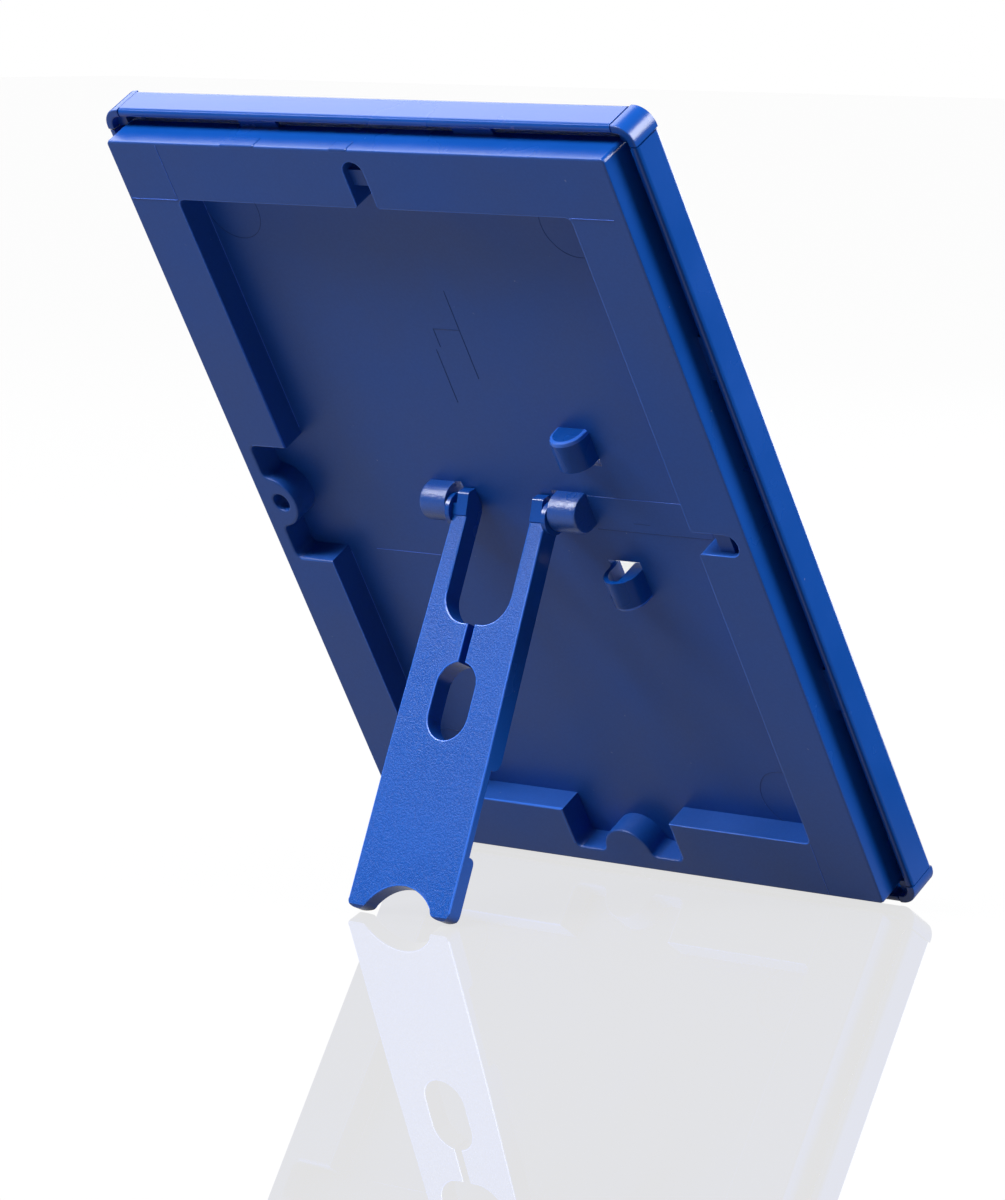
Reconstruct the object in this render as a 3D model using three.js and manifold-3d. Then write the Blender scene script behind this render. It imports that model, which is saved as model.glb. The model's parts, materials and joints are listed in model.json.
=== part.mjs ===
// Snap frame for a 13 x 18 cm print, standing on its fold-out leg. Millimetres, +Z up, front towards -Y.
// Each piece is drawn in the panel frame: X across, Y out of the back, Z up the panel, with the origin in
// the middle of the panel's back face. One leaning group then stands the whole frame on the floor.
import * as THREE from 'three';
import { mergeVertices } from 'three/addons/utils/BufferGeometryUtils.js';
import Module from 'manifold-3d';

const wasm = await Module();
wasm.setup();

// Clearances
const pieceClearance = 0.3;
const sheetClearance = 0.2;
const barClearance = 0.25;
const embed = 0.5;
const through = 2;

// Back panel
const panelWidth = 130;
const panelHeight = 179.3;
const panelCornerRadius = 1;
const borderWidth = 13.65;
const recessDepth = 6;
const recessCornerRadius = 1.5;
const floorThickness = 2;
const skinThickness = 2;

// Finger notches in the border, each with a half-round boss on its outer wall
const notchWidth = 28.7;
const notchOuterWall = 3.7;
const bossRadius = 6.3;
const bossFillet = 1.7;
const bossHoleRadius = 2;
const bossHoleInset = 5.8;

// Hanging slots in the border, each with a bridge over it and a hole at its end
const slotWidth = 5.2;
const slotLength = 10.75;
const bridgeStart = 4.5;
const bridgeEnd = 8.1;
const bridgeTop = 1.5;
const bridgeThickness = 2;
const slotHoleWidth = 3.4;

// Hinge hoods for the leg's pins: one pair for standing upright and one for standing on the long side
const hoodRadius = 4.1;
const hoodTopSetback = 0.4;
const hoodWall = 1;
const hoodMouth = 13.6;
const hoodEnd = 20.8;
const hoodEndWall = 3;
const hoodSeatDepth = 2.2;
const hoodWindowLead = 1.7;
const hoodPairShift = 0.6;
const hoodLift = 0.7;
const portraitAxisHeight = 0.5;
const landscapeAxisReach = 24;

// Rails and corner posts
const railOffset = 4.1;
const railBackSetback = 5.4;
const railDepth = 7.6;
const railWall = 1.75;
const railFaceWidth = 8;
const railFaceThickness = 1.8;
const railChamfer = 0.6;
const railFrontRadius = 1.2;
const lipThickness = 1.2;
const lipBevel = 0.8;
const postSize = 4.7;
const postStepBack = 0.1;
const postRadius = 4.2;
const postHollowDepth = 1.7;

// Rail hinges
const barRadius = 0.6;
const barWebThickness = 0.8;
const barReach = 1.25;
const barSetback = 7.5;
const barOverhang = 2;
const clawThickness = 0.55;
const clawLength = 6;
const clawStartDegrees = 222;
const clawEndDegrees = 425;
const shortRailClawPlace = 28;
const longRailClawPlace = 40;

// Sheets in front of the panel
const printThickness = 0.4;
const coverThickness = 1.2;

// Fold-out leg, with lengths measured along the leg from its hinge axis
const legOpenDegrees = 52.9;
const legFaceReach = 1.7;
const legBarrelRadius = 2.7;
const legWebThickness = 1.75;
const legPadThickness = 3.5;
const legShoulderDrop = 1.8;
const legShoulderStep = 0.3;
const legKnuckleReach = 2.9;
const legKnuckleRise = 3;
const legKnuckleTop = 4.35;
const legKnuckleRound = 0.5;
const legSlotWidth = 1;
const legSlotFoot = 0.7;
const legCollarRadius = 3.5;
const legRibEnd = 53;
const legRibRun = 3;
const legPadStart = 71;
const legPadRun = 1.5;
const legLength = 84.7;
const legTopWidth = 24.6;
const legMiddleWidth = 26.6;
const legFootWidth = 26.9;
const legStraightEnd = 5;
const legMiddlePlace = 52;
const armWidth = 3.85;
const forkDepth = 23.9;
const forkRadius = 6.2;
const slitWidth = 1.7;
const ovalStart = 32;
const ovalLength = 16.4;
const ovalWidth = 10.2;
const archWidth = 16.7;
const archRise = 4.2;
const archLift = 1.5;
const footRound = 2.2;
const footEdgeEase = 0.6;
const pocketWall = 1.7;
const pocketStart = 27;

// Places that follow from the sizes above
const quarter = Math.PI / 2;
const panelHalfX = panelWidth / 2;
const panelHalfZ = panelHeight / 2;
const panelDepth = recessDepth + floorThickness;
const recessHalfX = panelHalfX - borderWidth;
const recessHalfZ = panelHalfZ - borderWidth;
const railFrontSetback = railBackSetback + railDepth;
const hoodSetback = hoodTopSetback + hoodRadius;
const hoodBore = hoodRadius - hoodWall;
const legAxisSetback = recessDepth - legBarrelRadius - pieceClearance;
const pinRadius = legAxisSetback - hoodTopSetback - hoodWall - pieceClearance;
const pinStart = legTopWidth / 2 - legSlotWidth - embed;
const collarStart = hoodMouth - hoodWindowLead + pieceClearance;
const collarEnd = hoodMouth - pieceClearance;
const pinEnd = hoodEnd - hoodEndWall + hoodSeatDepth - pieceClearance;
const legOpen = THREE.MathUtils.degToRad(legOpenDegrees);
const printSetback = panelDepth + sheetClearance;
const coverSetback = printSetback + printThickness + sheetClearance;
const lipSetback = coverSetback + coverThickness + sheetClearance;

function solidOf(geometry) {
  geometry.deleteAttribute('normal');
  geometry.deleteAttribute('uv');
  const welded = mergeVertices(geometry, 1e-5);
  const mesh = new wasm.Mesh({
    numProp: 3,
    vertProperties: new Float32Array(welded.attributes.position.array),
    triVerts: new Uint32Array(welded.index.array),
  });
  return new wasm.Manifold(mesh);
}

function meshOf(solid, name, material) {
  const { vertProperties, triVerts } = solid.getMesh();
  const geometry = new THREE.BufferGeometry();
  geometry.setAttribute('position', new THREE.BufferAttribute(new Float32Array(vertProperties), 3));
  geometry.setIndex(new THREE.BufferAttribute(new Uint32Array(triVerts), 1));
  geometry.computeVertexNormals();
  const mesh = new THREE.Mesh(geometry, material);
  mesh.name = name;
  return mesh;
}

function block(x0, x1, y0, y1, z0, z1) {
  const geometry = new THREE.BoxGeometry(x1 - x0, y1 - y0, z1 - z0);
  geometry.translate((x0 + x1) / 2, (y0 + y1) / 2, (z0 + z1) / 2);
  return solidOf(geometry);
}

// A round bar along X
function bar(radius, x0, x1, y, z, segments = 40) {
  const geometry = new THREE.CylinderGeometry(radius, radius, x1 - x0, segments);
  geometry.rotateZ(quarter);
  geometry.translate((x0 + x1) / 2, y, z);
  return solidOf(geometry);
}

// A shape drawn in X and Z, given thickness between two setbacks
function slab(shape, y0, y1) {
  const options = { depth: y1 - y0, bevelEnabled: false, curveSegments: 16 };
  const geometry = new THREE.ExtrudeGeometry(shape, options);
  geometry.rotateX(quarter);
  geometry.translate(0, y1, 0);
  return solidOf(geometry);
}

// A section drawn in Y and Z, drawn out along X
function run(shape, x0, x1) {
  const options = { depth: x1 - x0, bevelEnabled: false, curveSegments: 16 };
  const geometry = new THREE.ExtrudeGeometry(shape, options);
  const yAxis = new THREE.Vector3(0, 1, 0);
  const zAxis = new THREE.Vector3(0, 0, 1);
  const xAxis = new THREE.Vector3(1, 0, 0);
  geometry.applyMatrix4(new THREE.Matrix4().makeBasis(yAxis, zAxis, xAxis));
  geometry.translate(x0, 0, 0);
  return solidOf(geometry);
}

// A turn about Y by quarters: 0 is the top side, 1 the +X side, 2 the bottom and 3 the -X side
function turned(solid, quarters) {
  return solid.rotate([0, quarters * 90, 0]);
}

function roundedRectangle(halfX, halfZ, radius) {
  const shape = new THREE.Shape();
  shape.moveTo(halfX, -halfZ + radius);
  shape.absarc(halfX - radius, halfZ - radius, radius, 0, quarter);
  shape.absarc(-halfX + radius, halfZ - radius, radius, quarter, 2 * quarter);
  shape.absarc(-halfX + radius, -halfZ + radius, radius, 2 * quarter, 3 * quarter);
  shape.absarc(halfX - radius, -halfZ + radius, radius, 3 * quarter, 4 * quarter);
  return shape;
}

// The notch of one side, drawn for the top: it opens into the recess and its boss points back at it
function notchShape(recessHalf, panelHalf) {
  const wall = panelHalf - notchOuterWall;
  const half = notchWidth / 2;
  const cornerX = half - recessCornerRadius;
  const cornerZ = wall - recessCornerRadius;
  const ease = Math.sqrt(bossRadius ** 2 - bossFillet ** 2);
  const bossEdge = Math.atan2(bossFillet, ease);
  const shape = new THREE.Shape();
  shape.moveTo(half, recessHalf - embed);
  shape.lineTo(half, wall - recessCornerRadius);
  shape.absarc(cornerX, cornerZ, recessCornerRadius, 0, quarter);
  shape.lineTo(bossRadius + bossFillet, wall);
  shape.quadraticCurveTo(bossRadius, wall, ease, wall - bossFillet);
  shape.absarc(0, wall, bossRadius, -bossEdge, -2 * quarter + bossEdge, true);
  shape.quadraticCurveTo(-bossRadius, wall, -bossRadius - bossFillet, wall);
  shape.absarc(-cornerX, cornerZ, recessCornerRadius, quarter, 2 * quarter);
  shape.lineTo(-half, recessHalf - embed);
  return shape;
}

function slotShape(width, start, end) {
  const shape = new THREE.Shape();
  shape.moveTo(width / 2, start);
  shape.lineTo(width / 2, end - width / 2);
  shape.absarc(0, end - width / 2, width / 2, 0, 2 * quarter);
  shape.lineTo(-width / 2, start);
  return shape;
}

// A pair of hoods with a window in the floor under each, for a hinge axis along X at the given height.
// Each hood is closed at its outer end, where a blind seat holds the leg's pin, and solid above the pin.
function addHoods(panel, axisHeight, shift, quarters) {
  const foot = -recessDepth - embed;
  const below = -panelDepth - through;
  const boreEnd = hoodEnd - hoodEndWall;
  const windowStart = hoodMouth - hoodWindowLead;
  const seatRadius = pinRadius + pieceClearance;
  const low = hoodLift - hoodRadius;
  const high = hoodLift + hoodRadius;
  const shell = bar(hoodRadius, hoodMouth, hoodEnd, -hoodSetback, hoodLift)
    .intersect(block(0, hoodEnd + through, foot, 0, low, high))
    .add(block(hoodMouth, hoodEnd, foot, -hoodSetback, low, high));
  const bore = bar(hoodBore, windowStart, boreEnd, -hoodSetback, hoodLift)
    .add(block(windowStart, boreEnd, below, -hoodSetback, low + hoodWall, high - hoodWall))
    .intersect(block(windowStart, boreEnd, below, 0, low, seatRadius))
    .add(block(windowStart, hoodMouth, below, -recessDepth + embed, low, high))
    .add(bar(seatRadius, windowStart, boreEnd + hoodSeatDepth, -legAxisSetback, 0, 24));
  for (const side of [-1, 1]) {
    const offset = [shift, 0, axisHeight];
    const place = (solid) => turned(solid.scale([side, 1, 1]).translate(offset), quarters);
    panel = panel.add(place(shell)).subtract(place(bore));
  }
  return panel;
}

function cornerPost(signX, signZ) {
  const outerX = panelHalfX + railOffset - postStepBack;
  const outerZ = panelHalfZ + railOffset - postStepBack;
  const innerX = panelHalfX + railOffset - postSize;
  const innerZ = panelHalfZ + railOffset - postSize;
  const shape = new THREE.Shape();
  shape.moveTo(innerX, innerZ);
  shape.lineTo(outerX, innerZ);
  shape.absarc(outerX - postRadius, outerZ - postRadius, postRadius, 0, quarter);
  shape.lineTo(innerX, outerZ);
  const post = slab(shape, -railFrontSetback + postStepBack, -railBackSetback);

  // Its back is a thin wall round a hollow that joins the gaps behind the rails
  const hollowX = outerX - railWall;
  const hollowZ = outerZ - railWall;
  const hollowRadius = postRadius - railWall;
  const hollowShape = new THREE.Shape();
  hollowShape.moveTo(innerX - embed, innerZ - embed);
  hollowShape.lineTo(hollowX, innerZ - embed);
  hollowShape.absarc(hollowX - hollowRadius, hollowZ - hollowRadius, hollowRadius, 0, quarter);
  hollowShape.lineTo(innerX - embed, hollowZ);
  const hollow = slab(hollowShape, -railBackSetback - postHollowDepth, through);
  return post.subtract(hollow).scale([signX, 1, signZ]);
}

function backPanel() {
  let panel = slab(roundedRectangle(panelHalfX, panelHalfZ, panelCornerRadius), -panelDepth, 0);
  const recess = roundedRectangle(recessHalfX, recessHalfZ, recessCornerRadius);
  panel = panel.subtract(slab(recess, -recessDepth, through));

  // The border is hollow from the front, apart from the walls round the notches and slots
  const front = -panelDepth - through;
  const hollowX = panelHalfX - skinThickness;
  const hollowZ = panelHalfZ - skinThickness;
  const coreX = recessHalfX + skinThickness;
  const coreZ = recessHalfZ + skinThickness;
  const notchKeep = notchWidth / 2 + skinThickness;
  const slotKeep = slotWidth / 2 + skinThickness;
  const hollow = block(-hollowX, hollowX, front, -skinThickness, -hollowZ, hollowZ)
    .subtract(block(-coreX, coreX, front, 0, -coreZ, coreZ))
    .subtract(block(-notchKeep, notchKeep, front, 0, -panelHalfZ, 0))
    .subtract(block(0, panelHalfX, front, 0, -notchKeep, notchKeep))
    .subtract(block(-slotKeep, slotKeep, front, 0, 0, panelHalfZ))
    .subtract(block(-panelHalfX, 0, front, 0, -slotKeep, slotKeep));
  panel = panel.subtract(hollow);

  const sides = [
    { quarters: 0, recessHalf: recessHalfZ, panelHalf: panelHalfZ, bars: shortRailClawPlace, has: 'slot' },
    { quarters: 1, recessHalf: recessHalfX, panelHalf: panelHalfX, bars: longRailClawPlace, has: 'notch' },
    { quarters: 2, recessHalf: recessHalfZ, panelHalf: panelHalfZ, bars: shortRailClawPlace, has: 'notch' },
    { quarters: 3, recessHalf: recessHalfX, panelHalf: panelHalfX, bars: longRailClawPlace, has: 'slot' },
  ];
  for (const { quarters, recessHalf, panelHalf, bars, has } of sides) {
    if (has === 'notch') {
      const notch = slab(notchShape(recessHalf, panelHalf), -recessDepth, through);
      panel = panel.subtract(turned(notch, quarters));
    } else {
      const slotEnd = recessHalf + slotLength;
      const slot = slab(slotShape(slotWidth, recessHalf - embed, slotEnd), -recessDepth, through);
      const bridgeBack = -bridgeTop;
      const bridgeFront = -bridgeTop - bridgeThickness;
      const bridgeHalf = slotWidth / 2 + embed;
      const bridgeLow = recessHalf + bridgeStart;
      const bridgeHigh = recessHalf + bridgeEnd;
      const bridge = block(-bridgeHalf, bridgeHalf, bridgeFront, bridgeBack, bridgeLow, bridgeHigh);
      const holeStart = bridgeHigh - slotHoleWidth / 2;
      const hole = slab(slotShape(slotHoleWidth, holeStart, slotEnd - embed), front, -recessDepth + embed);
      panel = panel.subtract(turned(slot, quarters));
      panel = panel.add(turned(bridge, quarters)).subtract(turned(hole, quarters));
    }
    const barHalf = clawLength / 2 + barOverhang;
    const barZ = panelHalf + barReach;
    const webFront = -barSetback - barWebThickness / 2;
    const webBack = webFront + barWebThickness;
    for (const middle of [-bars, bars]) {
      const x0 = middle - barHalf;
      const x1 = middle + barHalf;
      const web = block(x0, x1, webFront, webBack, panelHalf - embed, barZ);
      const hingeBar = bar(barRadius, x0, x1, -barSetback, barZ, 16);
      panel = panel.add(turned(web.add(hingeBar), quarters));
    }
  }

  const bossHole = new THREE.CylinderGeometry(bossHoleRadius, bossHoleRadius, 4 * panelDepth, 24);
  bossHole.translate(panelHalfX - bossHoleInset, 0, 0);
  panel = panel.subtract(solidOf(bossHole));

  panel = addHoods(panel, portraitAxisHeight, -hoodPairShift, 0);
  panel = addHoods(panel, landscapeAxisReach, hoodPairShift, 3);

  for (const signX of [-1, 1]) {
    for (const signZ of [-1, 1]) {
      panel = panel.add(cornerPost(signX, signZ));
    }
  }
  const seatFront = -railFrontSetback - through;
  const seat = block(-panelHalfX, panelHalfX, seatFront, -panelDepth, -panelHalfZ, panelHalfZ);
  return panel.subtract(seat);
}

// The rail's section, drawn in Y and Z for the top side with Z counted from the panel's edge
function railSection() {
  const front = -railFrontSetback;
  const faceEnd = railOffset - railFaceWidth;
  const wallInner = railOffset - railWall;
  const shape = new THREE.Shape();
  shape.moveTo(-railBackSetback, wallInner);
  shape.lineTo(-railBackSetback, railOffset - railChamfer);
  shape.lineTo(-railBackSetback - railChamfer, railOffset);
  const roundY = front + railFrontRadius;
  shape.absarc(roundY, railOffset - railFrontRadius, railFrontRadius, quarter, 2 * quarter);
  shape.lineTo(front, faceEnd + lipBevel);
  shape.lineTo(front + lipBevel, faceEnd);
  shape.lineTo(-lipSetback, faceEnd);
  shape.lineTo(-lipSetback, faceEnd + lipThickness);
  shape.lineTo(front + railFaceThickness, faceEnd + lipThickness);
  shape.lineTo(front + railFaceThickness, wallInner);
  return shape;
}

// The claw's section: most of a ring round the hinge bar, open towards the bar's web
function clawSection() {
  const bore = barRadius + barClearance;
  const steps = 28;
  const start = THREE.MathUtils.degToRad(clawStartDegrees);
  const sweep = THREE.MathUtils.degToRad(clawEndDegrees - clawStartDegrees);
  const ring = (radius, share) => {
    const angle = start + sweep * share;
    return new THREE.Vector2(-barSetback + radius * Math.sin(angle), barReach + radius * Math.cos(angle));
  };
  const points = [];
  for (let i = 0; i <= steps; i += 1) {
    points.push(ring(bore + clawThickness, i / steps));
  }
  for (let i = steps; i >= 0; i -= 1) {
    points.push(ring(bore, i / steps));
  }
  return new THREE.Shape(points);
}

// One rail drawn for the top side, with its hinge axis at the origin
function rail(across, clawPlace) {
  const outerAcross = across + railOffset;
  const end = outerAcross - postSize - pieceClearance;
  const cornerZ = railOffset - postSize;
  const faceEnd = railOffset - railFaceWidth;
  const mitre = cornerZ - faceEnd + embed;
  const plan = new THREE.Shape();
  plan.moveTo(end, railOffset + through);
  plan.lineTo(-end, railOffset + through);
  plan.lineTo(-end, cornerZ);
  plan.lineTo(-end + mitre, cornerZ - mitre);
  plan.lineTo(end - mitre, cornerZ - mitre);
  plan.lineTo(end, cornerZ);
  let solid = run(railSection(), -end, end).intersect(slab(plan, -railFrontSetback - through, 0));
  for (const side of [-1, 1]) {
    const middle = side * clawPlace;
    solid = solid.add(run(clawSection(), middle - clawLength / 2, middle + clawLength / 2));
  }
  return solid.translate([0, barSetback, -barReach]);
}

// The leg seen from its side: Y out of its outer face, Z up the leg from the hinge axis
function legProfile() {
  const face = legFaceReach;
  const web = face - legWebThickness;
  const pad = face - legPadThickness;
  const stopAngle = Math.PI - legOpen;
  const stopReach = (legKnuckleTop * Math.sin(legOpen) - legBarrelRadius) / Math.cos(legOpen);
  const shoulder = new THREE.Vector2(face + legShoulderStep, legShoulderStep / 2 - legShoulderDrop);
  const top = new THREE.Vector2(stopReach, legKnuckleTop);
  const corner = new THREE.Vector2(legKnuckleReach, legKnuckleRise);
  const towards = (end) => end.clone().sub(corner).setLength(legKnuckleRound).add(corner);
  const roundStart = towards(shoulder);
  const roundEnd = towards(top);
  const shape = new THREE.Shape();
  shape.moveTo(face, -legShoulderDrop);
  shape.lineTo(shoulder.x, shoulder.y);
  shape.lineTo(roundStart.x, roundStart.y);
  shape.quadraticCurveTo(corner.x, corner.y, roundEnd.x, roundEnd.y);
  shape.lineTo(top.x, top.y);
  shape.absarc(0, 0, legBarrelRadius, stopAngle, Math.PI);
  shape.lineTo(-legBarrelRadius, -legRibEnd + legRibRun);
  shape.quadraticCurveTo(-legBarrelRadius, -legRibEnd, web, -legRibEnd);
  shape.lineTo(web, -legPadStart);
  shape.quadraticCurveTo(pad, -legPadStart, pad, -legPadStart - legPadRun);
  shape.lineTo(pad, -legLength + footEdgeEase);
  shape.lineTo(pad + footEdgeEase, -legLength);
  shape.lineTo(face - footEdgeEase, -legLength);
  shape.lineTo(face, -legLength + footEdgeEase);
  return shape;
}

function legOutline() {
  const top = legTopWidth / 2;
  const middle = legMiddleWidth / 2;
  const foot = legFootWidth / 2;
  const archHalf = archWidth / 2;
  const archRadius = (archHalf ** 2 + archRise ** 2) / (2 * archRise);
  const archFoot = -legLength + archLift;
  const archCentre = archFoot + archRise - archRadius;
  const archEdge = Math.atan2(archFoot - archCentre, archHalf);
  const shape = new THREE.Shape();
  shape.moveTo(-top, legKnuckleTop + through);
  shape.lineTo(-top, -legStraightEnd);
  shape.lineTo(-middle, -legMiddlePlace);
  shape.lineTo(-foot, -legPadStart);
  shape.lineTo(-foot, -legLength + footRound);
  shape.quadraticCurveTo(-foot, -legLength, -foot + footRound, -legLength);
  shape.quadraticCurveTo(-archHalf - embed, -legLength, -archHalf, archFoot);
  shape.absarc(0, archCentre, archRadius, Math.PI - archEdge, archEdge, true);
  shape.quadraticCurveTo(archHalf + embed, -legLength, foot - footRound, -legLength);
  shape.quadraticCurveTo(foot, -legLength, foot, -legLength + footRound);
  shape.lineTo(foot, -legPadStart);
  shape.lineTo(middle, -legMiddlePlace);
  shape.lineTo(top, -legStraightEnd);
  shape.lineTo(top, legKnuckleTop + through);
  return shape;
}

function standLeg() {
  const inside = -legBarrelRadius - through;
  const outside = legKnuckleReach + through;
  const halfWidth = legFootWidth;
  let leg = run(legProfile(), -halfWidth, halfWidth).intersect(slab(legOutline(), inside, outside));

  const forkHalf = legTopWidth / 2 - armWidth;
  const fork = new THREE.Shape();
  fork.moveTo(-forkHalf, legKnuckleTop + through);
  fork.lineTo(-forkHalf, forkRadius - forkDepth);
  fork.absarc(forkRadius - forkHalf, forkRadius - forkDepth, forkRadius, 2 * quarter, 3 * quarter);
  fork.absarc(forkHalf - forkRadius, forkRadius - forkDepth, forkRadius, 3 * quarter, 4 * quarter);
  fork.lineTo(forkHalf, legKnuckleTop + through);
  const ovalHalf = ovalWidth / 2;
  const oval = new THREE.Shape();
  oval.absarc(0, -ovalStart - ovalHalf, ovalHalf, 0, 2 * quarter);
  oval.absarc(0, -ovalStart - ovalLength + ovalHalf, ovalHalf, 2 * quarter, 4 * quarter);
  const slitHalf = slitWidth / 2;
  const slit = block(-slitHalf, slitHalf, inside, outside, -ovalStart - embed, -forkDepth + embed);
  leg = leg.subtract(slab(fork, inside, outside)).subtract(slab(oval, inside, outside)).subtract(slit);

  // Two pockets lighten the ribbed half from its inner side
  const pocketInner = ovalHalf + pocketWall;
  const pocketOuter = legTopWidth / 2 - pocketWall;
  const pocketEnd = legRibEnd - legRibRun;
  const pocketFloor = legFaceReach - legWebThickness;
  for (const side of [-1, 1]) {
    const x0 = Math.min(side * pocketInner, side * pocketOuter);
    const x1 = Math.max(side * pocketInner, side * pocketOuter);
    leg = leg.subtract(block(x0, x1, inside, pocketFloor, -pocketEnd, -pocketStart));
  }

  // Each knuckle is slotted above its pin, next to the collar that closes the hood's mouth
  const slotInner = legTopWidth / 2 - legSlotWidth;
  const slotOuter = legTopWidth / 2 + through;
  const slotTop = legKnuckleTop + through;
  const slot = block(slotInner, slotOuter, inside, outside, legSlotFoot, slotTop);
  const collar = bar(legCollarRadius, collarStart, collarEnd, 0, 0, 48);
  const pin = bar(pinRadius, pinStart, pinEnd, 0, 0, 24).add(collar);
  for (const side of [-1, 1]) {
    leg = leg.subtract(slot.scale([side, 1, 1])).add(pin.scale([side, 1, 1]));
  }
  return leg;
}

function sheet(setback, thickness) {
  const halfX = panelHalfX - pieceClearance;
  const halfZ = panelHalfZ - pieceClearance;
  return block(-halfX, halfX, -setback - thickness, -setback, -halfZ, halfZ);
}

const panelPlastic = new THREE.MeshStandardMaterial({ color: 0x24408c, roughness: 0.5, metalness: 0 });
const railPlastic = new THREE.MeshStandardMaterial({ color: 0x0a4ab0, roughness: 0.25, metalness: 0 });
const legPlastic = new THREE.MeshStandardMaterial({ color: 0x2f62be, roughness: 0.6, metalness: 0 });
const paper = new THREE.MeshStandardMaterial({ color: 0xf3f2ee, roughness: 0.9, metalness: 0 });
const clearPlastic = new THREE.MeshStandardMaterial({
  color: 0xe4eef2,
  roughness: 0.05,
  metalness: 0,
  transparent: true,
  opacity: 0.3,
});

const frame = new THREE.Group();
frame.name = 'frame';
frame.add(meshOf(backPanel(), 'back_panel', panelPlastic));
frame.add(meshOf(sheet(printSetback, printThickness), 'print_sheet', paper));
frame.add(meshOf(sheet(coverSetback, coverThickness), 'clear_cover', clearPlastic));

const rails = [
  { name: 'rail_top', quarters: 0, reach: panelHalfZ, across: panelHalfX, clawPlace: shortRailClawPlace },
  { name: 'rail_right', quarters: 1, reach: panelHalfX, across: panelHalfZ, clawPlace: longRailClawPlace },
  { name: 'rail_bottom', quarters: 2, reach: panelHalfZ, across: panelHalfX, clawPlace: shortRailClawPlace },
  { name: 'rail_left', quarters: 3, reach: panelHalfX, across: panelHalfZ, clawPlace: longRailClawPlace },
];
for (const { name, quarters, reach, across, clawPlace } of rails) {
  const side = new THREE.Group();
  side.name = `${name}_side`;
  side.rotation.y = quarters * quarter;
  const mesh = meshOf(rail(across, clawPlace), name, railPlastic);
  mesh.position.set(0, -barSetback, reach + barReach);
  side.add(mesh);
  frame.add(side);
}

const legHinge = new THREE.Group();
legHinge.name = 'leg_hinge';
legHinge.position.set(-hoodPairShift, -legAxisSetback, portraitAxisHeight);
legHinge.rotation.x = legOpen;
legHinge.add(meshOf(standLeg(), 'stand_leg', legPlastic));
frame.add(legHinge);

// The frame leans until the lower posts and the leg's feet stand on one floor
const footY = legFaceReach - legPadThickness + footEdgeEase;
const foot = new THREE.Vector2(footY, -legLength).rotateAround(new THREE.Vector2(), legOpen);
foot.add(new THREE.Vector2(-legAxisSetback, portraitAxisHeight));
const heel = new THREE.Vector2(-railBackSetback, -panelHalfZ - railOffset + postStepBack);
const lean = Math.atan2(foot.y - heel.y, foot.x - heel.x);
frame.rotation.x = -lean;

const snapFrame = new THREE.Group();
snapFrame.name = 'snap_frame';
snapFrame.add(frame);
snapFrame.updateMatrixWorld(true);
const bounds = new THREE.Box3().setFromObject(snapFrame, true);
const centre = bounds.getCenter(new THREE.Vector3());
frame.position.set(-centre.x, -centre.y, -bounds.min.z);

export default snapFrame;
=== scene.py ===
import json
import math
import bpy
from mathutils import Matrix, Vector


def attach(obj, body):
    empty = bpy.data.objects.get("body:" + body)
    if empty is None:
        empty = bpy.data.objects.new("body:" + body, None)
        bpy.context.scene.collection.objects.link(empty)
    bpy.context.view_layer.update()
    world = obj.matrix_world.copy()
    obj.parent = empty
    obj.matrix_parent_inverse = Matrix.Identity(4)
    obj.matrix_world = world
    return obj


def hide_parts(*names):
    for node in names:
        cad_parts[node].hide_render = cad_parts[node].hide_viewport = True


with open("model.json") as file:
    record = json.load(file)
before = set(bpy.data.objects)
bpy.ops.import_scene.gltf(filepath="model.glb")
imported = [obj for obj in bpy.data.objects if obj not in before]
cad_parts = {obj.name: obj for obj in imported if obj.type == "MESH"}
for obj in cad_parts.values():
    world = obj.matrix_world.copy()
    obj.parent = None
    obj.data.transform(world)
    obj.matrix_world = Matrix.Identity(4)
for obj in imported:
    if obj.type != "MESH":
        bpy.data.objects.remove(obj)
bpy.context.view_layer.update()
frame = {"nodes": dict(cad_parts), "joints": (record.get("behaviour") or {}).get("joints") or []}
print("frame loaded:", sorted(frame["nodes"]))

scene = bpy.context.scene
scene.view_settings.view_transform = "Standard"


# camera

cameraSet = {
    "place": (-0.67795, 0.806001, 0.187897),
    "right": (-0.762975, -0.646377, 0.008119),
    "up": (0.08344, -0.086022, 0.992793),
    "lens": 155.74,
    "sensor": 36.0,  # on the tall side
    "clip": (0.05, 50),
}


def addCamera(cfg):
    bpy.ops.object.camera_add()
    cam = bpy.context.object
    cam.name = "photoCamera"
    right = Vector(cfg["right"]).normalized()
    up = Vector(cfg["up"]).normalized()
    back = right.cross(up).normalized()
    turn = Matrix((right, up, back)).transposed()
    cam.matrix_world = Matrix.Translation(Vector(cfg["place"])) @ turn.to_4x4()
    cam.data.sensor_fit = "VERTICAL"
    cam.data.sensor_height = cfg["sensor"]
    cam.data.lens = cfg["lens"]
    cam.data.clip_start, cam.data.clip_end = cfg["clip"]
    scene.camera = cam


addCamera(cameraSet)
print("camera set")


# materials

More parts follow.
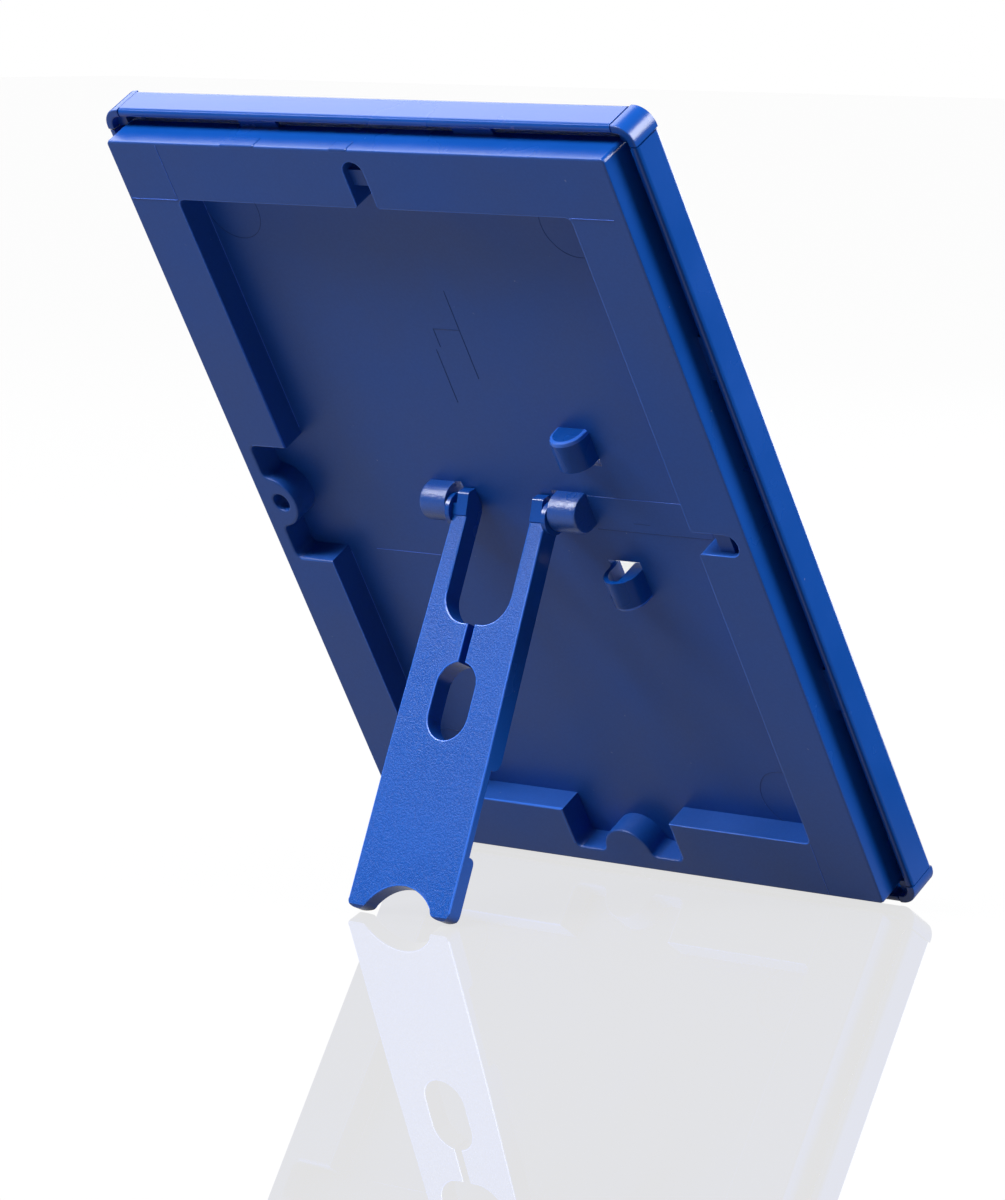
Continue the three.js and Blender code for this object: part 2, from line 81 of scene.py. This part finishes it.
plasticSet = {
    "blue": (0.003, 0.072, 0.385, 1),
    "deepBlue": (0.002, 0.062, 0.335, 1),
    # painted glints: this pale blue is mixed in where the texture's grains catch the light
    "pale": (0.014, 0.125, 0.56, 1),  # where the texture's grains catch the light
    "dust": (0.35, 0.42, 0.60, 1),
}
textureSet = {
    "cloud": 45,  # noise scales: slow change of tone and gloss, dust, faces that aren't quite flat
    "specks": 900,
    "wave": 60,
    "cloudBand": (0.3, 0.7),
    "glintBand": (0.42, 0.62),
    "speckBand": (0.80, 0.86),
    "dustShare": 0.35,
    "waveDepth": 0.00002,
    "ior": 1.5,
}
finishSet = {
    "panelSatin": {"rough": (0.38, 0.48), "spark": 1700, "depth": 0.000012, "glintShare": 0.10, "specular": 0.55},
    "hoodSpark": {"rough": (0.27, 0.34), "spark": 2400, "depth": 0.000100, "glintShare": 0.10, "specular": 0.85},
    "hoodPlain": {"rough": (0.24, 0.32), "spark": 2400, "depth": 0.000030, "glintShare": 0.0, "specular": 0.22},
    "railGloss": {"rough": (0.22, 0.30), "spark": 1500, "depth": 0.000001, "glintShare": 0.0, "specular": 0.5},
    "railLip": {"rough": (0.22, 0.30), "spark": 1500, "depth": 0.000001, "glintShare": 0.0, "specular": 0.10},
    "legSpark": {"rough": (0.24, 0.36), "spark": 3000, "depth": 0.000070, "glintShare": 0.50, "specular": 0.16},
    "legSmooth": {"rough": (0.22, 0.30), "spark": 2000, "depth": 0.000002, "glintShare": 0.05, "specular": 0.5},
}
plainSet = {
    # dark lines: scribed marks and ejector rings, and a painted shadow along the lower edge of the pad's
    # step
    "scribeAndShadowLine": {"colour": (0.002, 0.036, 0.19, 1), "rough": 0.55},
    # partly mould lines, partly painted highlight: a paler blue for lines along lit step edges and wall feet
    "mouldLineHighlight": {"colour": (0.05, 0.17, 0.78, 1), "rough": 0.40},
    # painted highlight: a paler blue on eased rims, where they would catch the light
    "wornRim": {"colour": (0.032, 0.16, 0.72, 1), "rough": 0.25},
}


def newMaterial(name):
    mat = bpy.data.materials.new(name)
    mat.use_nodes = True
    tree = mat.node_tree
    shader = tree.nodes["Principled BSDF"]
    return mat, tree, shader


def objectCoords(tree):
    return tree.nodes.new("ShaderNodeTexCoord").outputs["Object"]


def noise(tree, coords, scale, detail=3.0, roughness=0.5):
    node = tree.nodes.new("ShaderNodeTexNoise")
    node.inputs["Scale"].default_value = scale
    node.inputs["Detail"].default_value = detail
    node.inputs["Roughness"].default_value = roughness
    tree.links.new(coords, node.inputs["Vector"])
    return node.outputs["Fac"]


def spread(tree, value, fromLow, fromHigh, toLow, toHigh):
    node = tree.nodes.new("ShaderNodeMapRange")
    node.inputs["From Min"].default_value = fromLow
    node.inputs["From Max"].default_value = fromHigh
    node.inputs["To Min"].default_value = toLow
    node.inputs["To Max"].default_value = toHigh
    tree.links.new(value, node.inputs["Value"])
    return node.outputs["Result"]


def blendColours(tree, fac, first, second):
    node = tree.nodes.new("ShaderNodeMix")
    node.data_type = "RGBA"
    tree.links.new(fac, node.inputs["Factor"])
    for value, socket in ((first, 6), (second, 7)):
        if hasattr(value, "is_linked"):
            tree.links.new(value, node.inputs[socket])
        else:
            node.inputs[socket].default_value = value
    return node.outputs[2]


def bump(tree, height, distance, normal=None, strength=1.0):
    node = tree.nodes.new("ShaderNodeBump")
    node.inputs["Strength"].default_value = strength
    node.inputs["Distance"].default_value = distance
    tree.links.new(height, node.inputs["Height"])
    if normal is not None:
        tree.links.new(normal, node.inputs["Normal"])
    return node.outputs["Normal"]


def mouldedPlastic(name):
    cfg = finishSet[name]
    mat, tree, shader = newMaterial(name)
    coords = objectCoords(tree)
    cloud = noise(tree, coords, textureSet["cloud"], detail=4)
    tone = spread(tree, cloud, *textureSet["cloudBand"], 0, 1)
    colour = blendColours(tree, tone, plasticSet["deepBlue"], plasticSet["blue"])
    spark = noise(tree, coords, cfg["spark"], detail=2, roughness=0.6)
    # painted glints: pale flecks in the colour stand for grains catching the light
    glintMask = spread(tree, spark, *textureSet["glintBand"], 0, cfg["glintShare"])
    colour = blendColours(tree, glintMask, colour, plasticSet["pale"])
    specks = noise(tree, coords, textureSet["specks"], detail=1)
    dust = spread(tree, specks, *textureSet["speckBand"], 0, textureSet["dustShare"])
    colour = blendColours(tree, dust, colour, plasticSet["dust"])
    tree.links.new(colour, shader.inputs["Base Color"])
    rough = spread(tree, cloud, *textureSet["cloudBand"], *cfg["rough"])
    tree.links.new(rough, shader.inputs["Roughness"])
    normal = bump(tree, spark, cfg["depth"])
    wave = noise(tree, coords, textureSet["wave"], detail=1)
    normal = bump(tree, wave, textureSet["waveDepth"], normal)
    tree.links.new(normal, shader.inputs["Normal"])
    shader.inputs["IOR"].default_value = textureSet["ior"]
    shader.inputs["Specular IOR Level"].default_value = cfg["specular"]
    return mat


def plainPlastic(name):
    cfg = plainSet[name]
    mat, _, shader = newMaterial(name)
    shader.inputs["Base Color"].default_value = cfg["colour"]
    shader.inputs["Roughness"].default_value = cfg["rough"]
    return mat


plastics = {name: mouldedPlastic(name) for name in finishSet}
plastics.update({name: plainPlastic(name) for name in plainSet})


# sheet materials

paperSet = {
    "fibre": 700,
    "tones": ((0.86, 0.85, 0.82, 1), (0.92, 0.915, 0.90, 1)),
    "depth": 0.00001,
    "rough": 0.75,
    "glow": (0.9, 0.9, 0.88, 1),  # light that comes through the sheet
    "glowShare": 0.7,
}
# painted shade: the sheet's cut edges get a greyer paper colour for the shade they sit in
shadedEdgeSet = {"fibre": 2500, "tones": ((0.60, 0.59, 0.57, 1), (0.72, 0.71, 0.69, 1)), "rough": 0.9}
clearSet = {
    "smear": 25,
    "smearBand": (0.3, 0.7),
    "rough": (0.03, 0.07),
    "colour": (0.97, 0.985, 0.99, 1),
    "alpha": 0.12,
    "ior": 1.49,
}


def paperMaterial(cfg):
    mat, tree, shader = newMaterial("blankPaper")
    fibre = noise(tree, objectCoords(tree), cfg["fibre"], detail=4, roughness=0.6)
    tree.links.new(blendColours(tree, fibre, *cfg["tones"]), shader.inputs["Base Color"])
    tree.links.new(bump(tree, fibre, cfg["depth"], strength=0.6), shader.inputs["Normal"])
    shader.inputs["Roughness"].default_value = cfg["rough"]
    glow = tree.nodes.new("ShaderNodeBsdfTranslucent")
    glow.inputs["Color"].default_value = cfg["glow"]
    both = tree.nodes.new("ShaderNodeMixShader")
    both.inputs["Fac"].default_value = cfg["glowShare"]
    out = tree.nodes["Material Output"]
    tree.links.new(shader.outputs[0], both.inputs[1])
    tree.links.new(glow.outputs[0], both.inputs[2])
    tree.links.new(both.outputs[0], out.inputs["Surface"])
    return mat


def shadedEdgeMaterial(cfg):
    mat, tree, shader = newMaterial("shadedPaperEdge")
    fibre = noise(tree, objectCoords(tree), cfg["fibre"], detail=2)
    tree.links.new(blendColours(tree, fibre, *cfg["tones"]), shader.inputs["Base Color"])
    shader.inputs["Roughness"].default_value = cfg["rough"]
    return mat


def clearMaterial(cfg):
    mat, tree, shader = newMaterial("clearSheet")
    smear = noise(tree, objectCoords(tree), cfg["smear"], detail=3)
    rough = spread(tree, smear, *cfg["smearBand"], *cfg["rough"])
    tree.links.new(rough, shader.inputs["Roughness"])
    shader.inputs["Base Color"].default_value = cfg["colour"]
    shader.inputs["Alpha"].default_value = cfg["alpha"]
    shader.inputs["IOR"].default_value = cfg["ior"]
    return mat


blankPaper = paperMaterial(paperSet)
shadedPaperEdge = shadedEdgeMaterial(shadedEdgeSet)
clearSheet = clearMaterial(clearSet)
print("materials made")


# the panel's own frame: across, out of its back, up the panel

hingeDepth = 0.0075  # from the back face to the rails' hinge axes


def panelMatrix():
    spots = {j["name"]: Vector(j["pos_m"]) for j in frame["joints"]}
    top, bottom = spots["top_rail_hinge"], spots["bottom_rail_hinge"]
    across = Vector((1, 0, 0))
    up = (top - bottom).normalized()
    out = up.cross(across)
    middle = (top + bottom) / 2 + out * hingeDepth
    turn = Matrix((across, out, up)).transposed()
    return Matrix.Translation(middle) @ turn.to_4x4()


def legMatrix():
    hinge = next(j for j in frame["joints"] if j["name"] == "stand_hinge")
    opened = math.radians(hinge["range_deg"][1])
    turn = panelPlace.to_3x3().to_4x4() @ Matrix.Rotation(opened, 4, "X")
    return Matrix.Translation(Vector(hinge["pos_m"])) @ turn


panelPlace = panelMatrix()
legPlace = legMatrix()
print("panel leans", round(math.degrees(math.atan2(panelPlace[1][2], panelPlace[2][2])), 2))


# moulded pieces: each solid with its edges eased, in millimetres on the panel or from the leg's hinge

millimetres = 1000  # in a metre
near = 0.05
flush = 0.02
hoodSet = {
    "upright": {"x": ((-21.7, -13.9), (12.7, 20.5)), "z": ((-3.2, 5.6),)},
    "sideways": {"x": ((-29.1, -20.3),), "z": ((13.9, 21.7), (-20.5, -12.7))},
    "foot": -5.9,
    "uprightMiddle": -0.6,  # x halfway between the two hoods
    "sidewaysMiddle": (-24.7, 0.6),  # x, z
    "closedEnd": (20, 21.5),  # from the middle of a pair to its closed ends
    "endReach": (8, 6),  # to either side, upright and sideways
    "endFoot": -6.05,
}
notchSet = {
    "right": {"x": (51.0, 62.0), "z": (-14.6, 14.6)},
    "bottom": {"x": (-14.6, 14.6), "z": (-86.5, -75.6)},
}
slotSet = {"half": 2.6, "side": -51.35, "top": 76.0}  # where the hanging slots leave the recess
panelSet = {
    "outline": (63.9, 88.6),  # x, z past which the border's outer edge lies
    "sideWall": (64.8, 89.4),
    "postEnd": (64.4, 89.05),
    "postBack": -5.4,
    "recessFloor": -6,
    "rimDepth": -0.4,
    "rimTilt": (0.2, 0.97),  # how far an eased face's normal leans
    "wideRim": 0.65,  # shares of the easing
    "rim": 0.28,
    "post": 0.4,
}
railSet = {
    "shortest": 20,  # edges under this stay sharp
    "lipEdge": -6.6,
    "lipFace": -6.8,
    "lipTilt": (0.4, 0.92),
    "plainEdge": 0.45,
}
legSet = {
    "blade": (-83, -3.5),  # z from the hinge
    "face": 1.7,
    "rimFoot": 1.35,
    "rimTilt": (0.2, 0.97),
    "sparkTilt": 0.8,
    "sparkTop": -1.8,
}


def within(value, span):
    return span[0] < value < span[1]


def onHood(spot, pair):
    inX = any(within(spot.x, span) for span in pair["x"])
    inZ = any(within(spot.z, span) for span in pair["z"])
    return spot.y > hoodSet["foot"] and inX and inZ


def atHoodEnd(spot):
    x, z = hoodSet["sidewaysMiddle"]
    upReach, sideReach = hoodSet["endReach"]
    upright = within(abs(spot.x - hoodSet["uprightMiddle"]), hoodSet["closedEnd"]) and abs(spot.z) < upReach
    sideways = within(abs(spot.z - z), hoodSet["closedEnd"]) and abs(spot.x - x) < sideReach
    return spot.y > hoodSet["endFoot"] and (upright or sideways)


def onNotchRim(spot):
    return any(within(spot.x, notch["x"]) and within(spot.z, notch["z"]) for notch in notchSet.values())


def atSlotCorner(spot):
    half = slotSet["half"]
    side = abs(spot.x - slotSet["side"]) < near and abs(abs(spot.z) - half) < near
    top = abs(spot.z - slotSet["top"]) < near and abs(abs(spot.x) - half) < near
    return side or top


def beyond(spot, limits):
    return abs(spot.x) > limits[0] or abs(spot.z) > limits[1]


def onOutline(spot):
    return beyond(spot, panelSet["outline"])


def atPostEnd(spot):
    x, z = panelSet["postEnd"]
    return min(abs(abs(spot.x) - x), abs(abs(spot.z) - z)) < near


def level(ends, height):
    return all(abs(spot.y - height) < flush for spot in ends)


# how much of its piece's easing an edge takes

def panelEdge(*ends):
    outer = all(onOutline(spot) for spot in ends)
    if level(ends, 0):  # round the back face and its openings
        wide = outer or all(onNotchRim(spot) for spot in ends)
        return panelSet["wideRim"] if wide else panelSet["rim"]
    if level(ends, panelSet["postBack"]) and outer:
        return 0 if all(atPostEnd(spot) for spot in ends) else panelSet["post"]
    if all(atHoodEnd(spot) for spot in ends) and not level(ends, panelSet["recessFloor"]):
        return 1
    return 1 if all(atSlotCorner(spot) for spot in ends) else 0


def railEdge(first, second):
    if (first - second).length < railSet["shortest"]:
        return 0
    return 1 if min(first.y, second.y) > railSet["lipEdge"] else railSet["plainEdge"]


def legEdge(*ends):
    onBlade = any(within(spot.z, legSet["blade"]) for spot in ends)
    return 1 if onBlade and level(ends, legSet["face"]) else 0


# which finish a face gets

def panelFinish(spot, normal):
    if onHood(spot, hoodSet["upright"]):
        return "hoodSpark"
    if onHood(spot, hoodSet["sideways"]):
        # painted highlight on the eased rims of the sideways hoods' closed ends
        rim = atHoodEnd(spot) and within(abs(normal.z), panelSet["rimTilt"])
        return "wornRim" if rim else "hoodPlain"
    if beyond(spot, panelSet["sideWall"]):
        return "railGloss"
    # painted highlight on the eased rims along the back face, away from its outline and notches
    rim = spot.y > panelSet["rimDepth"] and within(normal.y, panelSet["rimTilt"])
    if rim and not onOutline(spot) and not onNotchRim(spot):
        return "wornRim"
    return "panelSatin"


def railFinish(spot, normal):
    lip = spot.y > railSet["lipFace"] and within(normal.y, railSet["lipTilt"])
    return "railLip" if lip else "railGloss"


def legFinish(spot, normal):
    # painted highlight on the eased rims of the leg's blade
    rim = legSet["rimFoot"] < spot.y < legSet["face"] and within(normal.y, legSet["rimTilt"])
    if rim and spot.z < legSet["blade"][1]:
        return "wornRim"
    spark = normal.y > legSet["sparkTilt"] and spot.z < legSet["sparkTop"]
    return "legSpark" if spark else "legSmooth"


easeSet = {
    "back_panel": {
        "piece": "panelMoulding", "body": "back", "slot": "panel_plastic", "place": panelPlace,
        "edge": 0.0009, "widen": panelEdge, "finish": panelFinish,
        "finishes": ("panelSatin", "hoodSpark", "railGloss", "wornRim", "hoodPlain"),
    },
}
for side in ("top", "right", "bottom", "left"):
    easeSet["rail_" + side] = {
        "piece": side + "Rail", "body": side + "_rail", "slot": "rail_plastic", "place": panelPlace,
        "edge": 0.0004, "widen": railEdge, "finish": railFinish,
        "finishes": ("railGloss", "railLip"),
    }
easeSet["stand_leg"] = {
    "piece": "standLeg", "body": "stand", "slot": "leg_plastic", "place": legPlace,
    "edge": 0.0003, "widen": legEdge, "finish": legFinish,
    "finishes": ("legSpark", "legSmooth", "wornRim"),
}
meshSet = {
    "weld": 0.00006,
    "sliver": 0.00001,
    "flat": math.radians(0.5),
    "corner": math.radians(38),  # edges that bend less aren't eased
    "smooth": math.radians(35),
    "segments": 2,
    "flatWeight": 100,  # large faces set the normals, so they stay flat
}


def weighEdges(piece, cfg):
    mesh = piece.data
    sides = {}
    for face in mesh.polygons:
        for key in face.edge_keys:
            sides.setdefault(key, []).append(face.normal)
    weights = mesh.attributes.new("bevel_weight_edge", "FLOAT", "EDGE")
    back = cfg["place"].inverted()
    for edge in mesh.edges:
        pair = sides.get(edge.key, [])
        if len(pair) != 2 or pair[0].angle(pair[1], 0) < meshSet["corner"]:
            continue
        ends = [(back @ mesh.vertices[i].co) * millimetres for i in edge.vertices]
        weights.data[edge.index].value = cfg["widen"](*ends)


def paintFaces(piece, cfg):
    piece.data.materials.clear()
    for finish in cfg["finishes"]:
        piece.data.materials.append(plastics[finish])
    back = cfg["place"].inverted()
    turn = back.to_3x3()
    for face in piece.data.polygons:
        finish = cfg["finish"]((back @ face.center) * millimetres, turn @ face.normal)
        face.material_index = cfg["finishes"].index(finish)


def easedCopy(node, cfg):
    bpy.ops.object.select_all(action="DESELECT")
    piece = bpy.data.objects.new(cfg["piece"], frame["nodes"][node].data.copy())
    scene.collection.objects.link(piece)
    bpy.context.view_layer.objects.active = piece
    piece.select_set(True)
    bpy.ops.mesh.customdata_custom_splitnormals_clear()
    bpy.ops.object.mode_set(mode="EDIT")
    bpy.ops.mesh.select_all(action="SELECT")
    bpy.ops.mesh.remove_doubles(threshold=meshSet["weld"])
    bpy.ops.mesh.dissolve_degenerate(threshold=meshSet["sliver"])
    bpy.ops.mesh.dissolve_limited(angle_limit=meshSet["flat"])
    bpy.ops.mesh.mark_sharp(clear=True)
    bpy.ops.object.mode_set(mode="OBJECT")
    weighEdges(piece, cfg)
    ease = piece.modifiers.new("ease", "BEVEL")
    ease.limit_method = "WEIGHT"
    ease.width = cfg["edge"]
    ease.segments = meshSet["segments"]
    ease.use_clamp_overlap = False
    ease.loop_slide = False
    bpy.ops.object.modifier_apply(modifier="ease")
    bpy.ops.object.shade_smooth_by_angle(angle=meshSet["smooth"])
    flat = piece.modifiers.new("flat", "WEIGHTED_NORMAL")
    flat.mode = "FACE_AREA"
    flat.weight = meshSet["flatWeight"]
    flat.keep_sharp = True
    bpy.ops.object.modifier_apply(modifier="flat")
    paintFaces(piece, cfg)
    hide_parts(node)
    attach(piece, cfg["body"])
    print("eased", cfg["piece"], len(piece.data.polygons))


for node, cfg in easeSet.items():
    easedCopy(node, cfg)


# marks on the back, in millimetres on the panel: witness marks that the mould left, pale lines with painted
# highlights and dark lines with painted shadow

witnessAndLightSet = {
    "floor": -6.0,  # depth of the recess floor
    "pads": [(-50.9, -21.6, -3.75, 4.7)],  # x0, x1, z0, z1
    "padHeight": 0.05,
    # mould lines drawn pale as painted highlight; at z 4.6 the lit upper edge of the pad's step, at x 51.2 a
    # lit strip at the foot of the recess wall
    "paleLines": [  # from x, z to x, z
        (-23.75, 4.6, -51.0, 4.6), (43.4, -14.6, 25.6, -14.6),
        (51.2, 75.5, 51.2, 16.0), (51.2, -16.0, 51.2, -75.5),
    ],
    # dark lines: scribed marks, and at z -3.6 a painted shadow under the pad's step
    "scribedAndShadowLines": [
        (-5.0, 32.0, -5.0, 53.0), (3.3, 25.7, 3.3, 38.5), (-5.0, 43.6, 1.9, 43.6), (1.9, 39.3, 1.9, 43.6),
        (-31.4, -1.4, -35.4, -1.4), (-21.3, -3.6, -51.0, -3.6),
    ],
    "borderLines": [
        (51.35, 76.0, 51.35, 89.0), (-51.35, 76.0, -62.0, 76.0), (51.35, 76.0, 64.0, 76.0),
        (-51.35, -76.0, -51.35, -89.0), (51.35, -76.0, 51.35, -89.0),
    ],
    "lineWidth": 0.16,
    "lineHeight": 0.07,
    "ejectors": [(-44.5, 70.0), (44.0, 70.5), (-44.5, -70.0), (44.5, -70.0)],
    "ejectorRadius": 7.2,
    "ejectorBead": 0.06,
    "ringFaces": (96, 8),
    "gates": [(24.3, 33.5), (-0.4, 4.3)],  # along the top edge
    "gateBand": (88.9, 89.65),
    "gateHeight": 0.12,
    "gateDepth": -1.6,
    "gateHalf": 1.55,
    "bevel": (0.8, 0.3),  # at most these shares of a mark's height and width
    "smooth": math.radians(15),
}


def markBlock(x0, x1, z0, z1, y, height):
    bpy.ops.object.select_all(action="DESELECT")
    bpy.ops.mesh.primitive_cube_add(size=1, location=((x0 + x1) / 2, y, (z0 + z1) / 2))
    block = bpy.context.object
    block.scale = (x1 - x0, 2 * height, z1 - z0)
    bpy.ops.object.transform_apply(location=True, rotation=True, scale=True)
    bpy.ops.object.mode_set(mode="EDIT")
    bpy.ops.mesh.select_all(action="SELECT")
    ofHeight, ofWidth = witnessAndLightSet["bevel"]
    bpy.ops.mesh.bevel(offset=min(height * ofHeight, (z1 - z0) * ofWidth), segments=2)
    bpy.ops.object.mode_set(mode="OBJECT")
    return block


def markLine(x0, z0, x1, z1, y, width, height):
    half = width / 2
    left, right = min(x0, x1) - half, max(x0, x1) + half
    low, high = min(z0, z1) - half, max(z0, z1) + half
    return markBlock(left, right, low, high, y, height)


def markRing(x, z, cfg):
    around, across = cfg["ringFaces"]
    bpy.ops.object.select_all(action="DESELECT")
    bpy.ops.mesh.primitive_torus_add(
        location=(x, cfg["floor"], z), rotation=(math.pi / 2, 0, 0),
        major_radius=cfg["ejectorRadius"], minor_radius=cfg["ejectorBead"],
        major_segments=around, minor_segments=across)
    bpy.ops.object.transform_apply(location=True, rotation=True, scale=True)
    return bpy.context.object


def finishMarks(marks, mat):
    for mark in marks:
        mark.data.materials.clear()
        mark.data.materials.append(mat)
    return marks


def addWitnessAndLightMarks(cfg):
    floor, wide, high = cfg["floor"], cfg["lineWidth"], cfg["lineHeight"]
    pads = [markBlock(*pad, floor, cfg["padHeight"]) for pad in cfg["pads"]]
    pale = [markLine(*line, floor, wide, high) for line in cfg["paleLines"]]
    pale += [markLine(*line, 0.0, wide, high) for line in cfg["borderLines"]]
    deep = [markLine(*line, floor, wide, high) for line in cfg["scribedAndShadowLines"]]
    deep += [markRing(x, z, cfg) for x, z in cfg["ejectors"]]
    low, top = cfg["gateBand"][0], cfg["gateBand"][1] + cfg["gateHeight"]
    gates = [markBlock(*gate, low, top, cfg["gateDepth"], cfg["gateHalf"]) for gate in cfg["gates"]]
    marks = finishMarks(pads, plastics["panelSatin"])
    # painted highlight: the pale lines take a paler blue
    marks += finishMarks(pale, plastics["mouldLineHighlight"])
    # painted shadow along the pad's lower edge, with the scribed marks and ejector rings in the same dark
    # blue
    marks += finishMarks(deep, plastics["scribeAndShadowLine"])
    marks += finishMarks(gates, plastics["railGloss"])
    bpy.ops.object.select_all(action="DESELECT")
    for mark in marks:
        mark.select_set(True)
    bpy.context.view_layer.objects.active = marks[0]
    bpy.ops.object.join()
    piece = bpy.context.object
    piece.name = "mouldMarksAndLight"
    piece.matrix_world = panelPlace @ Matrix.Scale(1 / millimetres, 4)
    bpy.ops.object.transform_apply(location=True, rotation=True, scale=True)
    bpy.ops.object.shade_smooth_by_angle(angle=cfg["smooth"])
    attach(piece, "back")
    print("mould marks", len(piece.data.polygons))


addWitnessAndLightMarks(witnessAndLightSet)


# sheets in front of the panel

for node, mat in (("print_sheet", blankPaper), ("clear_cover", clearSheet)):
    for place in frame["nodes"][node].material_slots:
        place.material = mat
paper = frame["nodes"]["print_sheet"].data
paper.materials.append(shadedPaperEdge)
outward = panelPlace.col[1].to_3d()
# painted shade: the cut edges take the greyer edge material
for face in paper.polygons:
    if abs(face.normal.dot(outward)) < 0.5:  # the sheet's cut edges
        face.material_index = 1
print("sheets dressed")


# floor, backdrop and light

studioSet = {
    "floorSize": 12.0,
    "floorDrop": -0.0002,
    "glow": 1.1,
    "glowShare": 0.88,
    "matt": (0.16, 0.163, 0.17, 1),
    "gloss": 0.25,
    "fadeAlong": (0.64, 0.77, 0.0),
    "fadeBand": (-0.22, -0.04),  # the floor that the frame mirrors is dark to its front right
    "fadeLevels": (0.02, 0.56),
    "aim": (0, 0, 0.08),
    "ambient": 0.02,
    "mirrored": 0.10,  # the room beyond the boxes is dim in a blurred reflection
}
lampSet = {
    "keyBox": {"place": (0.30, 0.70, 1.12), "size": 0.5, "power": 20.0},
    "kicker": {"place": (0.80, 0.72, 0.82), "size": 0.3, "power": 8.0},
    "topBox": {"place": (0.83, -0.32, 1.02), "size": 1.0, "power": 10.0},
    "sideBox": {"place": (-0.92, -0.36, 0.72), "size": 0.6, "power": 16.5},
    "frontBox": {"place": (0.1, -1.2, 0.35), "size": 0.9, "power": 11.0},
}


def mixShaders(tree, first, second, fac):
    node = tree.nodes.new("ShaderNodeMixShader")
    if hasattr(fac, "is_linked"):
        tree.links.new(fac, node.inputs["Fac"])
    else:
        node.inputs["Fac"].default_value = fac
    tree.links.new(first.outputs[0], node.inputs[1])
    tree.links.new(second.outputs[0], node.inputs[2])
    return node


def floorMaterial(cfg):
    mat = bpy.data.materials.new("studioFloor")
    mat.use_nodes = True
    tree = mat.node_tree
    tree.nodes.clear()
    out = tree.nodes.new("ShaderNodeOutputMaterial")
    light = tree.nodes.new("ShaderNodeLightPath")
    white = tree.nodes.new("ShaderNodeEmission")
    white.inputs["Color"].default_value = (1, 1, 1, 1)
    white.inputs["Strength"].default_value = cfg["glow"]
    matt = tree.nodes.new("ShaderNodeBsdfDiffuse")
    matt.inputs["Color"].default_value = cfg["matt"]
    gloss = tree.nodes.new("ShaderNodeBsdfGlossy")
    gloss.inputs["Roughness"].default_value = 0.0
    gloss.inputs["Color"].default_value = (1, 1, 1, 1)
    mirrored = tree.nodes.new("ShaderNodeEmission")
    along = tree.nodes.new("ShaderNodeVectorMath")
    along.operation = "DOT_PRODUCT"
    along.inputs[1].default_value = cfg["fadeAlong"]
    tree.links.new(objectCoords(tree), along.inputs[0])
    fade = spread(tree, along.outputs["Value"], *cfg["fadeBand"], *cfg["fadeLevels"])
    tree.links.new(fade, mirrored.inputs["Strength"])
    seen = mixShaders(tree, mixShaders(tree, matt, white, cfg["glowShare"]), gloss, cfg["gloss"])
    other = mixShaders(tree, matt, mirrored, light.outputs["Is Glossy Ray"])
    pick = mixShaders(tree, other, seen, light.outputs["Is Camera Ray"])
    tree.links.new(pick.outputs[0], out.inputs["Surface"])
    return mat


def addFloor(cfg):
    bpy.ops.object.select_all(action="DESELECT")
    bpy.ops.mesh.primitive_plane_add(size=cfg["floorSize"], location=(0, 0, cfg["floorDrop"]))
    floor = bpy.context.object
    floor.name = "studioFloor"
    bpy.ops.object.transform_apply(location=True)
    floor.data.materials.append(floorMaterial(cfg))


def addLamps(boxes, target):
    for name, box in boxes.items():
        bpy.ops.object.light_add(type="AREA", location=box["place"])
        lamp = bpy.context.object
        lamp.name = name
        lamp.data.size = box["size"]
        lamp.data.energy = box["power"]
        aim = Vector(target) - Vector(box["place"])
        lamp.rotation_euler = aim.to_track_quat("-Z", "Y").to_euler()


def combine(tree, operation, first, second):
    node = tree.nodes.new("ShaderNodeMath")
    node.operation = operation
    node.use_clamp = operation == "SUBTRACT"
    tree.links.new(first, node.inputs[0])
    tree.links.new(second, node.inputs[1])
    return node.outputs[0]


def addAir(cfg):
    world = bpy.data.worlds.new("studioAir")
    scene.world = world
    world.use_nodes = True
    tree = world.node_tree
    tree.nodes.clear()
    out = tree.nodes.new("ShaderNodeOutputWorld")
    back = tree.nodes.new("ShaderNodeBackground")
    rays = tree.nodes.new("ShaderNodeLightPath").outputs
    seen = combine(tree, "MAXIMUM", rays["Is Camera Ray"], rays["Is Glossy Ray"])
    seen = combine(tree, "MAXIMUM", seen, rays["Is Transmission Ray"])
    strength = spread(tree, seen, 0, 1, cfg["ambient"], 1.0)
    blurred = combine(tree, "SUBTRACT", rays["Is Glossy Ray"], rays["Is Singular Ray"])
    dim = tree.nodes.new("ShaderNodeMix")
    tree.links.new(blurred, dim.inputs["Factor"])
    tree.links.new(strength, dim.inputs[2])
    dim.inputs[3].default_value = cfg["mirrored"]
    tree.links.new(dim.outputs[0], back.inputs["Strength"])
    back.inputs["Color"].default_value = (1, 1, 1, 1)
    tree.links.new(back.outputs[0], out.inputs["Surface"])


addFloor(studioSet)
addLamps(lampSet, studioSet["aim"])
addAir(studioSet)
print("studio set")
